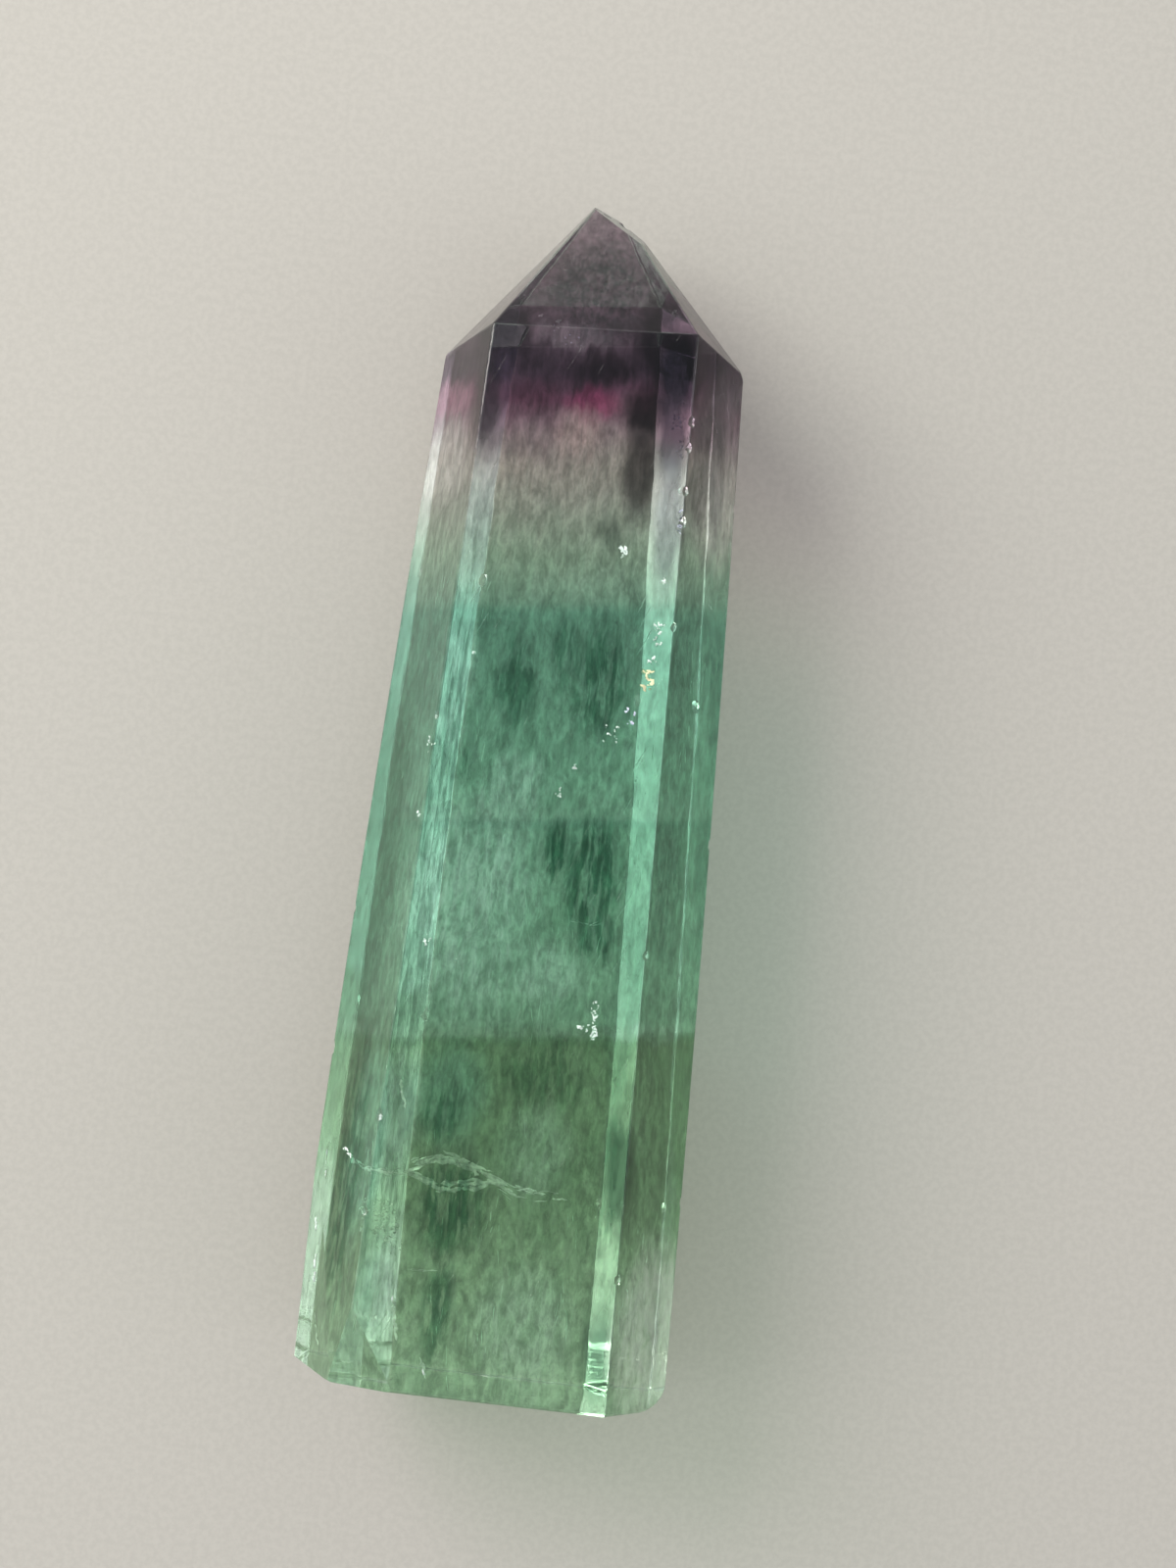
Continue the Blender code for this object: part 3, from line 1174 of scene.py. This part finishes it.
@dataclass
class Splinters:
    """Small closed splinters frozen in the crystal, gathered into one piece."""

    body: CrystalBody
    mesh: bmesh.types.BMesh = field(default_factory=bmesh.new)
    rng: random.Random = field(init=False)
    title: ClassVar[str]
    seed: ClassVar[int]
    kinds: ClassVar[tuple[Inclusion, ...]]
    rings: ClassVar[Triple] = (-0.55, 0.0, 0.5)
    crook: ClassVar[float] = 0.7
    thinnest: ClassVar[float] = 0.6

    def __post_init__(self) -> None:
        """Seeds the source of chance."""
        self.rng = random.Random(self.seed)

    def scatter(self) -> None:
        """Adds the splinters; each piece has its own way."""
        raise NotImplementedError

    def chance(self, *spreads: float) -> list[float]:
        """Numbers that spread normally round zero."""
        return [self.rng.gauss(0.0, spread) for spread in spreads]

    def add(self, place: Vector, way: Vector, half: Triple, roll: float, kind: int = 0) -> None:
        """Adds a splinter, pointed at both ends and a little crooked.

        Args:
            place: Its middle.
            way: The direction it points in.
            half: Half its length, width and thickness.
            roll: How far its flat side turns from level.
            kind: Its place among the piece's kinds of finish.
        """
        side = way.cross(Vector((0.0, 0.0, 1.0))).normalized()
        side.rotate(Matrix.Rotation(roll, 3, way))
        length, width, thick = half
        offsets = (side * width, way.cross(side) * thick)
        ends = [self.mesh.verts.new(place + way * length * end) for end in (-1.0, 1.0)]
        rings = []
        for share in self.rings:
            bulge = self.rng.uniform(self.thinnest, 1.0)
            shift = side * self.rng.uniform(-self.crook, self.crook) * width
            middle = place + way * length * share + shift
            around = (*offsets, -offsets[0], -offsets[1])
            rings.append([self.mesh.verts.new(middle + offset * bulge) for offset in around])
        for i, j in ((0, 1), (1, 2), (2, 3), (3, 0)):
            corners = [(ends[0], rings[0][j], rings[0][i])]
            for lower, upper in zip(rings, rings[1:]):
                corners.append((lower[i], lower[j], upper[j], upper[i]))
            corners.append((rings[-1][i], rings[-1][j], ends[1]))
            for face in map(self.mesh.faces.new, corners):
                face.material_index = kind

    def build(self, effects: Effects) -> bpy.types.Object:
        """Adds the splinters and dresses them.

        Args:
            effects: The shader groups.

        Returns:
            The finished piece.
        """
        self.scatter()
        bmesh.ops.recalc_face_normals(self.mesh, faces=self.mesh.faces)
        piece = finish_piece(self.title, self.mesh)
        settle(piece)
        for kind in self.kinds:
            piece.data.materials.append(kind.value.material(effects))
        return piece


@dataclass
class MilkyThreads(Splinters):
    """Short milky wisps frozen in the crystal along its length, in loose clumps."""

    clumps: int = 34
    margin: float = 0.6
    lowest: Triple = (-12.0, 1.5, 1.0)
    highest: Triple = (12.0, 58.0, 15.0)
    slant: Span = (-0.03, 0.05)
    wisps: tuple[int, int] = (2, 7)
    spread: Triple = (0.5, 1.0, 0.4)
    wander: Span = (0.1, 0.08)
    halves: tuple[Span, ...] = ((0.2, 0.8), (0.015, 0.035), (0.008, 0.015))
    title = "milky_threads"
    seed = 11
    kinds = (Inclusion.THREAD,)

    def spot(self) -> Vector:
        """A random place well inside the crystal.

        Returns:
            The place.
        """
        while True:
            place = Vector([self.rng.uniform(*ends) for ends in zip(self.lowest, self.highest)])
            if self.body.depth_of(place) > 2.0 * self.margin:
                return place

    def scatter(self) -> None:
        """Scatters the wisps through the crystal."""
        rng = self.rng
        for _ in range(self.clumps):
            middle = self.spot()
            slant = rng.gauss(*self.slant)
            for _ in range(rng.randint(*self.wisps)):
                place = middle + Vector(self.chance(*self.spread))
                if self.body.depth_of(place) < self.margin:
                    continue
                sideways, rise = self.chance(*self.wander)
                way = Vector((slant + sideways, 1.0, rise)).normalized()
                half = tuple(rng.uniform(*ends) for ends in self.halves)
                self.add(place, way, half, rng.uniform(0.0, math.tau))


@dataclass(frozen=True)
class Plume:
    """One branch of the fracture, or a row of painted highlight strokes: its line, its strokes, and
    their size and spread.
    """

    line: tuple[Triple, ...]
    strokes: int
    length: float
    width: float
    spread: float
    step: ClassVar[float] = 0.05

    def spot(self, share: float) -> Vector:
        """A place along the line.

        Args:
            share: How far along, from 0 at its start to 1 at its end.

        Returns:
            The place.
        """
        run = share * (len(self.line) - 1)
        start = min(int(run), len(self.line) - 2)
        return Vector(self.line[start]).lerp(Vector(self.line[start + 1]), run - start)

    def way(self, share: float) -> Vector:
        """The line's direction at a share of its length."""
        ahead, behind = min(share + self.step, 1.0), max(share - self.step, 0.0)
        return (self.spot(ahead) - self.spot(behind)).normalized()


UPPER_BRANCH = (
    (-6.0, 14.7, 13.0),
    (-5.3, 15.05, 13.0),
    (-4.4, 15.3, 12.9),
    (-3.6, 15.35, 12.9),
    (-2.8, 15.15, 12.9),
    (-1.9, 14.9, 12.8),
    (-1.0, 14.55, 12.7),
    (0.1, 14.1, 12.6),
)
LOWER_BRANCH = (
    (-6.3, 14.25, 13.0),
    (-5.5, 14.0, 13.0),
    (-4.8, 13.75, 13.0),
    (-4.1, 13.45, 12.9),
    (-3.4, 13.5, 12.9),
    (-2.7, 13.75, 12.8),
    (-1.9, 13.8, 12.8),
    (-1.1, 14.0, 12.7),
)
RIGHT_TAIL = ((0.0, 14.2, 12.7), (1.2, 13.9, 12.6), (2.3, 13.6, 12.5), (4.3, 13.7, 12.4))
LEFT_TAIL = (
    (-10.7, 15.1, 12.6),
    (-10.2, 14.85, 13.0),
    (-9.55, 14.5, 13.3),
    (-8.7, 14.2, 13.4),
    (-7.8, 14.1, 13.4),
    (-6.0, 14.3, 13.3),
)

PLUMES_AND_HIGHLIGHTS = (
    Plume(UPPER_BRANCH, 46, 0.8, 0.2, 0.19),
    Plume(LOWER_BRANCH, 38, 0.7, 0.2, 0.17),
    Plume(RIGHT_TAIL, 18, 0.55, 0.1, 0.4),
    Plume(LEFT_TAIL, 26, 0.5, 0.12, 0.1),
    Plume(((-5.5, 7.85, 13.4), (-4.5, 7.85, 13.4), (-3.7, 8.0, 13.4)), 8, 0.4, 0.04, 0.05),
    Plume(((2.7, 31.95, 12.6), (3.7, 31.8, 12.6), (4.5, 31.95, 12.6)), 7, 0.4, 0.03, 0.04),
    Plume(((-7.4, 20.3, 16.4), (-6.9, 18.9, 16.4)), 5, 0.45, 0.12, 0.08),
    Plume(((-6.2, 6.0, 16.4), (-5.7, 3.6, 16.4)), 8, 0.5, 0.15, 0.1),
    Plume(((-4.0, 2.5, 16.4), (-3.5, 1.4, 16.4)), 5, 0.35, 0.12, 0.06),
    # Painted highlights: white strokes along the rounded lower left edge.
    Plume(((-12.0, 14.9, 10.6), (-11.75, 12.6, 10.6)), 5, 0.6, 0.12, 0.05),
    Plume(((-12.2, 9.8, 10.4), (-12.1, 9.2, 10.4)), 2, 0.35, 0.1, 0.05),
    Plume(((-11.9, 8.0, 10.6), (-11.8, 5.9, 10.6)), 4, 0.4, 0.12, 0.05),
    Plume(((-11.5, 4.0, 11.0), (-10.6, 1.9, 11.4)), 6, 0.4, 0.13, 0.08),
)


@dataclass
class FeatherFractureAndHighlights(Splinters):
    """Silvery plumes of thin gaps across the lower part of the crystal, and painted highlight
    strokes along the lower left edge.
    """

    margin: float = 0.04
    thick: float = 0.02
    wander: Triple = (0.08, 0.16, 0.1)
    roll: float = 0.5
    lengths: Span = (0.35, 1.0)
    widths: Span = (0.3, 1.0)
    title = "feather_fracture_and_highlights"
    seed = 23
    kinds = (Inclusion.FRACTURE_AND_HIGHLIGHT,)

    def scatter(self) -> None:
        """Lays thin slivers along each branch."""
        rng = self.rng
        for plume in PLUMES_AND_HIGHLIGHTS:
            for stroke in range(plume.strokes):
                share = (stroke + rng.random()) / plume.strokes
                drift = Vector((0.0, *self.chance(plume.spread, plume.spread)))
                place = self.body.sink(plume.spot(share) + drift, self.margin)
                way = (plume.way(share) + Vector(self.chance(*self.wander))).normalized()
                length = plume.length * rng.uniform(*self.lengths)
                half = (length, plume.width * rng.uniform(*self.widths), self.thick)
                self.add(place, way, half, *self.chance(self.roll))


@dataclass(frozen=True)
class Clump:
    """A clump of painted glints: bright specks, in millimetres above the base."""

    kind: Inclusion
    centre: Triple
    reach: Triple
    count: int
    size: float
    depth: float = 0.0


WHITE, GOLD, LILAC = Inclusion.WHITE, Inclusion.GOLD, Inclusion.LILAC
GLINTS = (
    Clump(WHITE, (-7.9, 11.9, 14.0), (0.6, 0.5, 0.4), 16, 0.16, 0.25),
    Clump(WHITE, (-7.3, 10.6, 14.0), (0.8, 1.1, 0.4), 34, 0.2, 0.25),
    Clump(WHITE, (-6.9, 9.2, 14.0), (0.8, 0.5, 0.4), 14, 0.12, 0.25),
    Clump(WHITE, (4.75, 26.5, 16.6), (0.22, 0.5, 0.3), 12, 0.14),
    Clump(WHITE, (4.85, 25.2, 16.6), (0.14, 0.8, 0.2), 15, 0.26),
    Clump(WHITE, (4.3, 25.1, 16.6), (0.6, 0.3, 0.2), 10, 0.2),
    Clump(GOLD, (5.75, 48.3, 16.6), (0.3, 0.7, 0.2), 16, 0.3),
    Clump(WHITE, (6.1, 51.5, 16.6), (0.4, 0.9, 0.3), 14, 0.22),
    Clump(WHITE, (5.9, 49.7, 16.6), (0.4, 0.2, 0.2), 5, 0.24),
    Clump(LILAC, (4.9, 45.6, 16.6), (0.45, 0.7, 0.3), 7, 0.2),
    Clump(WHITE, (3.8, 44.5, 16.6), (0.5, 0.6, 0.3), 12, 0.16),
    Clump(WHITE, (1.65, 42.2, 16.6), (0.08, 0.3, 0.1), 4, 0.24),
    Clump(WHITE, (0.8, 40.3, 16.6), (0.25, 0.4, 0.3), 8, 0.16),
    Clump(WHITE, (-5.9, 48.8, 16.6), (0.15, 0.1, 0.1), 2, 0.2),
    Clump(WHITE, (-8.0, 42.5, 16.6), (0.35, 0.5, 0.2), 8, 0.16),
    Clump(WHITE, (-8.2, 37.9, 16.6), (0.12, 0.2, 0.2), 4, 0.22),
    Clump(WHITE, (6.05, 55.0, 16.6), (0.12, 0.2, 0.1), 4, 0.26),
    Clump(WHITE, (-6.7, 29.7, 16.6), (0.25, 0.4, 0.2), 8, 0.18),
    Clump(WHITE, (3.15, 56.5, 16.6), (0.22, 0.35, 0.2), 9, 0.26),
    Clump(LILAC, (5.8, 65.5, 13.7), (0.4, 0.5, 0.2), 12, 0.16, 0.25),
    Clump(LILAC, (6.1, 63.6, 13.7), (0.25, 0.8, 0.2), 8, 0.14, 0.25),
    Clump(WHITE, (6.4, 61.0, 16.6), (0.1, 0.25, 0.1), 4, 0.2),
    Clump(LILAC, (6.7, 59.0, 16.6), (0.1, 0.8, 0.1), 8, 0.24),
    Clump(WHITE, (-4.03, 71.4, 12.4), (0.1, 0.12, 0.1), 3, 0.26, 0.25),
    Clump(WHITE, (-2.9, 71.0, 12.4), (0.1, 0.15, 0.1), 3, 0.2, 0.25),
    Clump(LILAC, (-2.0, 70.3, 12.4), (1.3, 0.5, 0.3), 7, 0.1, 0.25),
    Clump(WHITE, (4.75, 72.5, 12.6), (0.12, 0.4, 0.1), 7, 0.18, 0.25),
    Clump(WHITE, (-8.4, 17.9, 16.6), (0.06, 0.25, 0.1), 5, 0.26),
)


@dataclass
class Glints(Splinters):
    """Painted glints: bright specks that stand in for sparkles where small gaps in the crystal
    catch the light.
    """

    thick: float = 0.03
    roll: float = 0.2
    sizes: Span = (0.3, 0.9)
    widths: Span = (0.35, 0.8)
    title = "glints"
    seed = 31
    kinds = (WHITE, GOLD, LILAC)

    def scatter(self) -> None:
        """Scatters the specks in their clumps."""
        rng = self.rng
        for clump in GLINTS:
            for _ in range(clump.count):
                offset = Vector([rng.uniform(-1.0, 1.0) * reach for reach in clump.reach])
                place = self.body.sink(Vector(clump.centre) + offset, clump.depth)
                size = clump.size * rng.uniform(*self.sizes)
                half = (size, size * rng.uniform(*self.widths), self.thick)
                way = Vector((*self.chance(1.0, 1.0), 0.0)).normalized()
                kind = self.kinds.index(clump.kind)
                self.add(place, way, half, *self.chance(self.roll), kind)


def finish_piece(name: str, mesh: bmesh.types.BMesh) -> bpy.types.Object:
    """Turns a mesh under construction into an object.

    Args:
        name: The object's name.
        mesh: The mesh, which is freed.

    Returns:
        The object, still in millimetres.
    """
    data = bpy.data.meshes.new(name)
    mesh.to_mesh(data)
    mesh.free()
    piece = bpy.data.objects.new(name, data)
    bpy.context.collection.objects.link(piece)
    return piece


def settle(piece: bpy.types.Object) -> None:
    """Moves a piece's points from millimetres above the base to the row's metres."""
    for vertex in piece.data.vertices:
        vertex.co = (vertex.co - FOOTPRINT_MIDDLE) * MM


def carve(piece: bpy.types.Object, shells: Iterable[Shell]) -> None:
    """Carves shell-shaped bites into a piece's own mesh and drops the cutters.

    Args:
        piece: The piece.
        shells: The bites.
    """
    cutters = [shell.cutter(i) for i, shell in enumerate(shells)]
    for cutter in cutters:
        modifier = piece.modifiers.new(cutter.name, "BOOLEAN")
        modifier.operation = "DIFFERENCE"
        modifier.solver = "EXACT"
        modifier.object = cutter
    graph = bpy.context.evaluated_depsgraph_get()
    carved = bpy.data.meshes.new_from_object(piece.evaluated_get(graph))
    piece.modifiers.clear()
    piece.data = carved
    for cutter in cutters:
        bpy.data.objects.remove(cutter)


@dataclass(frozen=True)
class SoftLight:
    """A square soft light that faces the crystal."""

    name: str
    place: Triple
    side: float
    power: float
    colour: Colour

    def hang(self) -> None:
        """Hangs the light."""
        data = bpy.data.lights.new(self.name, "AREA")
        data.size = self.side
        data.energy = self.power
        data.color = self.colour
        lamp = bpy.data.objects.new(self.name, data)
        lamp.location = self.place
        lamp.rotation_euler = (-lamp.location).to_track_quat("-Z", "Y").to_euler()
        bpy.context.collection.objects.link(lamp)


LIGHTS = (
    SoftLight("window", (-0.45, 0.3, 0.42), 0.4, 5.0, (1.0, 0.97, 0.92)),
    SoftLight("left_panel", (-0.52, -0.02, 0.29), 0.45, 0.72, (1.0, 0.99, 0.96)),
    SoftLight("right_panel", (0.55, -0.02, 0.29), 0.45, 0.54, (0.96, 0.99, 1.0)),
)


@dataclass
class Surroundings:
    """The pale table, the soft lights and the camera above the crystal."""

    table_side: float = 2.4
    table_cells: int = 8
    table_gap: float = 0.00003
    eye: Triple = (0.0028, 0.00108, 0.2672)
    turn: float = math.radians(6.6)
    lens: float = 88.0
    sensor: float = 36.0
    nearest: float = 0.01
    horizon: Colour = (0.72, 0.72, 0.7)
    zenith: Colour = (0.4, 0.42, 0.45)
    rise: Span = (0.25, 0.9)

    def lay_table(self, effects: Effects) -> None:
        """Lays the table under the crystal.

        Args:
            effects: The shader groups.
        """
        shape = bmesh.new()
        cells = self.table_cells
        bmesh.ops.create_grid(shape, x_segments=cells, y_segments=cells, size=self.table_side / 2.0)
        table = finish_piece("table", shape)
        table.location.z = -self.table_gap
        table.data.materials.append(TableFinish().material(effects))

    def light(self) -> None:
        """Sets the soft daylight: a dome that is paler at the horizon, and the panels."""
        world = bpy.data.worlds.new("studio")
        world.use_nodes = True
        w = Wiring(world.node_tree)
        way = w.add("ShaderNodeTexCoord").outputs["Generated"]
        height = w.add("ShaderNodeSeparateXYZ", way).outputs["Z"]
        sky = w.mix(w.ramp(height, *self.rise), self.horizon, self.zenith)
        w.feed(world.node_tree.nodes["Background"].inputs["Color"], sky)
        world.cycles.sampling_method = "MANUAL"
        scene = bpy.context.scene
        scene.world = world
        scene.cycles.caustics_refractive = False
        scene.view_settings.view_transform = "Standard"
        for light in LIGHTS:
            light.hang()

    def set_camera(self) -> None:
        """Sets the camera straight above, turned as the crystal lies in its picture."""
        data = bpy.data.cameras.new("camera")
        data.lens = self.lens
        data.sensor_width = self.sensor
        data.clip_start = self.nearest
        camera = bpy.data.objects.new("camera", data)
        camera.location = self.eye
        camera.rotation_euler = (0.0, 0.0, self.turn)
        bpy.context.collection.objects.link(camera)
        bpy.context.scene.camera = camera


def main() -> None:
    """Builds the crystal with what is frozen in it, and sets it on the table."""
    logging.basicConfig(level=logging.INFO, format="%(name)s: %(message)s")
    effects = Effects()
    body = CrystalBody()
    crystal = body.build(effects)
    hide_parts("fluorite_point")
    inside = [kind(body).build(effects) for kind in (MilkyThreads, FeatherFractureAndHighlights, Glints)]
    for piece in (crystal, *inside):
        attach(piece, "root")
        LOG.info("%s: %d faces", piece.name, len(piece.data.polygons))
    surroundings = Surroundings()
    surroundings.lay_table(effects)
    surroundings.light()
    surroundings.set_camera()
    LOG.info("table, lights and camera set")


if __name__ == "__main__":
    main()
